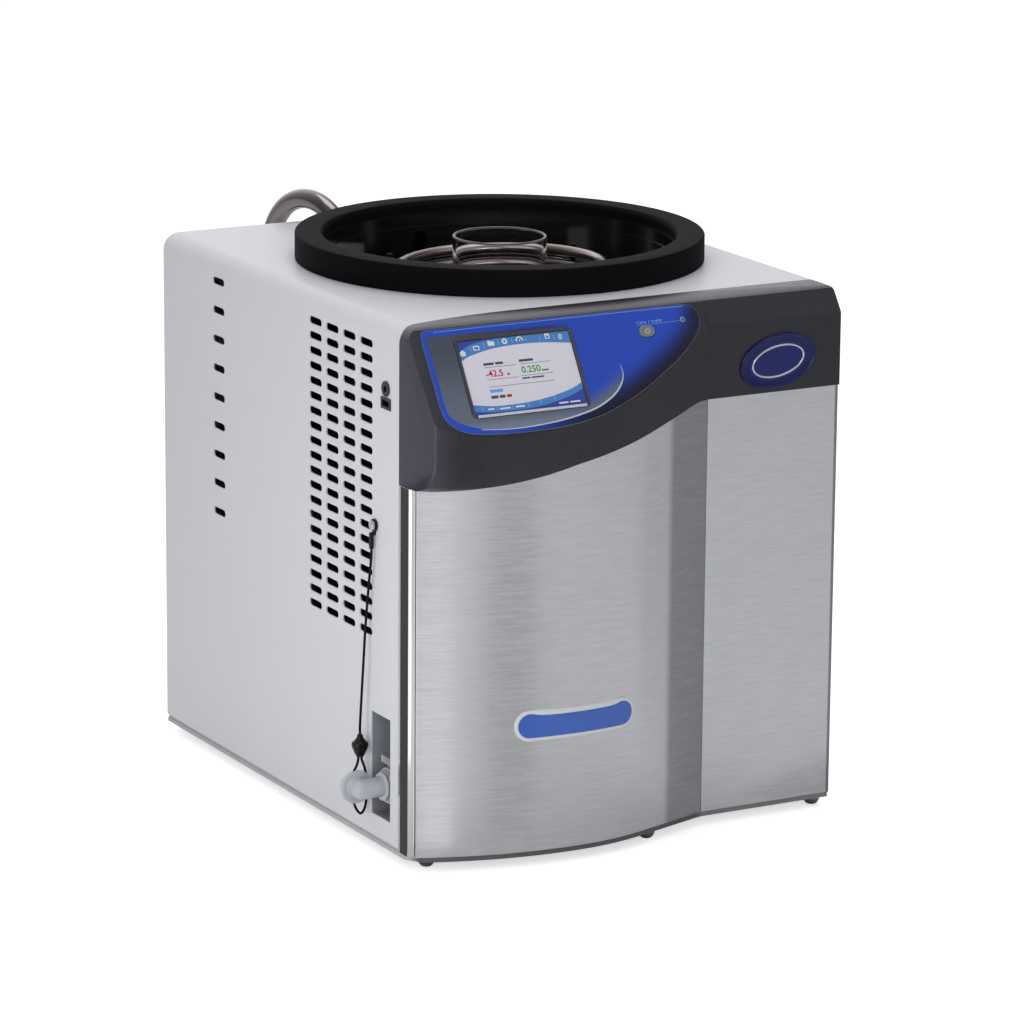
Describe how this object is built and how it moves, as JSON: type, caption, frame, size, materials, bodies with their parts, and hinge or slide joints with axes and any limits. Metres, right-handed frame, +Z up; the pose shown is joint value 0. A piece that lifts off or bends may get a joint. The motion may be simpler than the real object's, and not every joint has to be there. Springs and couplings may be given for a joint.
{
  "type": "benchtop freeze dryer",
  "caption": "Benchtop freeze dryer with bowed steel front, sloped touch control pod, open round collector under a thick gasket, coil inside, bent vacuum tube, side drain.",
  "frame": {"origin": "on the bench plane, under the centre of the part's bounding box without its cord", "axes": "+Z up, +Y from the control front towards the rear, +X towards the flat-fronted side"},
  "size_m": [0.4327, 0.5536, 0.4772],
  "materials": {
    "cover_paint": "fine satin powder coat",
    "pan_paint": "satin grey",
    "foot_rubber": "matte",
    "foot_metal": "bright plated",
    "zinc": "zinc plated",
    "front_steel": "fine horizontal grain",
    "post_steel": "bright satin",
    "fascia_plastic": "fine texture",
    "overlay_print": "printed film, satin gloss",
    "bezel_metal": "bright satin",
    "screen": "lit touch glass",
    "module_can": "stamped can",
    "board_green": "solder mask",
    "button_grey": "satin",
    "switch_black": "moulded",
    "light_lens": "clear lens",
    "badge_blue": "domed gloss",
    "emblem_silver": "bright",
    "plate_blue": "gloss with pale border",
    "gasket_rubber": "satin black",
    "chamber_black": "gloss black coating",
    "foam": "closed cell foam",
    "coil_steel": "electropolished",
    "baffle_clear": "clear acrylic",
    "tube_steel": "polished",
    "hose_rubber": "matte",
    "pocket_plastic": "moulded",
    "coupling_plastic": "natural acetal",
    "latch_metal": "stamped",
    "hose_clear": "milky tube",
    "screw_chrome": "bright",
    "cord_black": "braided",
    "bead_black": "moulded",
    "socket_black": "moulded",
    "compressor_paint": "satin black",
    "fin_black": "black coated fins",
    "shroud_paint": "satin",
    "motor_metal": "cast",
    "fan_plastic": "moulded",
    "copper": "bare copper",
    "box_paint": "satin"
  },
  "bodies": {
    "cabinet": {"base_pan": "pan_paint", "foot_front_left": "foot_metal", "foot_front_middle": "foot_metal", "foot_front_right": "foot_metal", "foot_rear_left": "foot_metal", "foot_rear_right": "foot_metal", "foot_studs": "zinc", "cabinet_cover": "cover_paint", "rear_panel": "cover_paint", "corner_post": "post_steel", "front_panel_bow": "front_steel", "front_panel_flat": "front_steel", "control_pod": "fascia_plastic", "fascia_right": "fascia_plastic", "control_overlay": "overlay_print", "display_bezel": "bezel_metal", "display_glass": "screen", "display_module": "module_can", "control_board": "board_green", "button_switch": "switch_black", "status_light": "light_lens", "badge_dish": "badge_blue", "badge_emblem": "emblem_silver", "name_plate": "plate_blue", "collector_gasket": "gasket_rubber", "collector_chamber": "chamber_black", "chamber_insulation": "foam", "collector_coil": "coil_steel", "coil_stand": "coil_steel", "baffle_tube": "baffle_clear", "vacuum_tube": "tube_steel", "vacuum_hose": "hose_rubber", "tube_grommet": "hose_rubber", "drain_pocket": "pocket_plastic", "drain_coupling": "coupling_plastic", "drain_elbow": "coupling_plastic", "drain_hose": "hose_clear", "lanyard_screw": "screw_chrome", "lanyard_eyelet": "bead_black", "lanyard_cord": "cord_black", "lanyard_bead": "bead_black", "lanyard_loop": "cord_black", "sensor_jack": "socket_black", "data_socket": "socket_black", "power_inlet": "socket_black", "compressor": "compressor_paint", "compressor_mounts": "foot_rubber", "condenser": "fin_black", "fan_shroud": "shroud_paint", "fan_motor": "motor_metal", "fan_bracket": "shroud_paint", "filter_drier": "copper", "discharge_line": "copper", "liquid_line": "copper", "suction_line": "copper", "electronics_box": "box_paint", "panel_screws": "zinc"},
    "button": {"power_button": "button_grey"},
    "latch": {"drain_latch": "latch_metal"},
    "fan": {"fan_rotor": "fan_plastic"}
  },
  "joints": [
    {"name": "button_press", "type": "slide", "parent": "cabinet", "child": "button", "axis": [0, 0.848, -0.53], "range_m": [0, 0.0012], "stiffness_N_per_m": 900, "springref_m": -0.001},
    {"name": "latch_press", "type": "slide", "parent": "cabinet", "child": "latch", "axis": [0, 0, -1], "range_m": [0, 0.002], "stiffness_N_per_m": 1200, "springref_m": -0.0015},
    {"name": "fan_spin", "type": "hinge", "parent": "cabinet", "child": "fan", "pos_m": [-0.12885, -0.10522, 0.166], "axis": [1, 0, 0], "continuous": true}
  ]
}
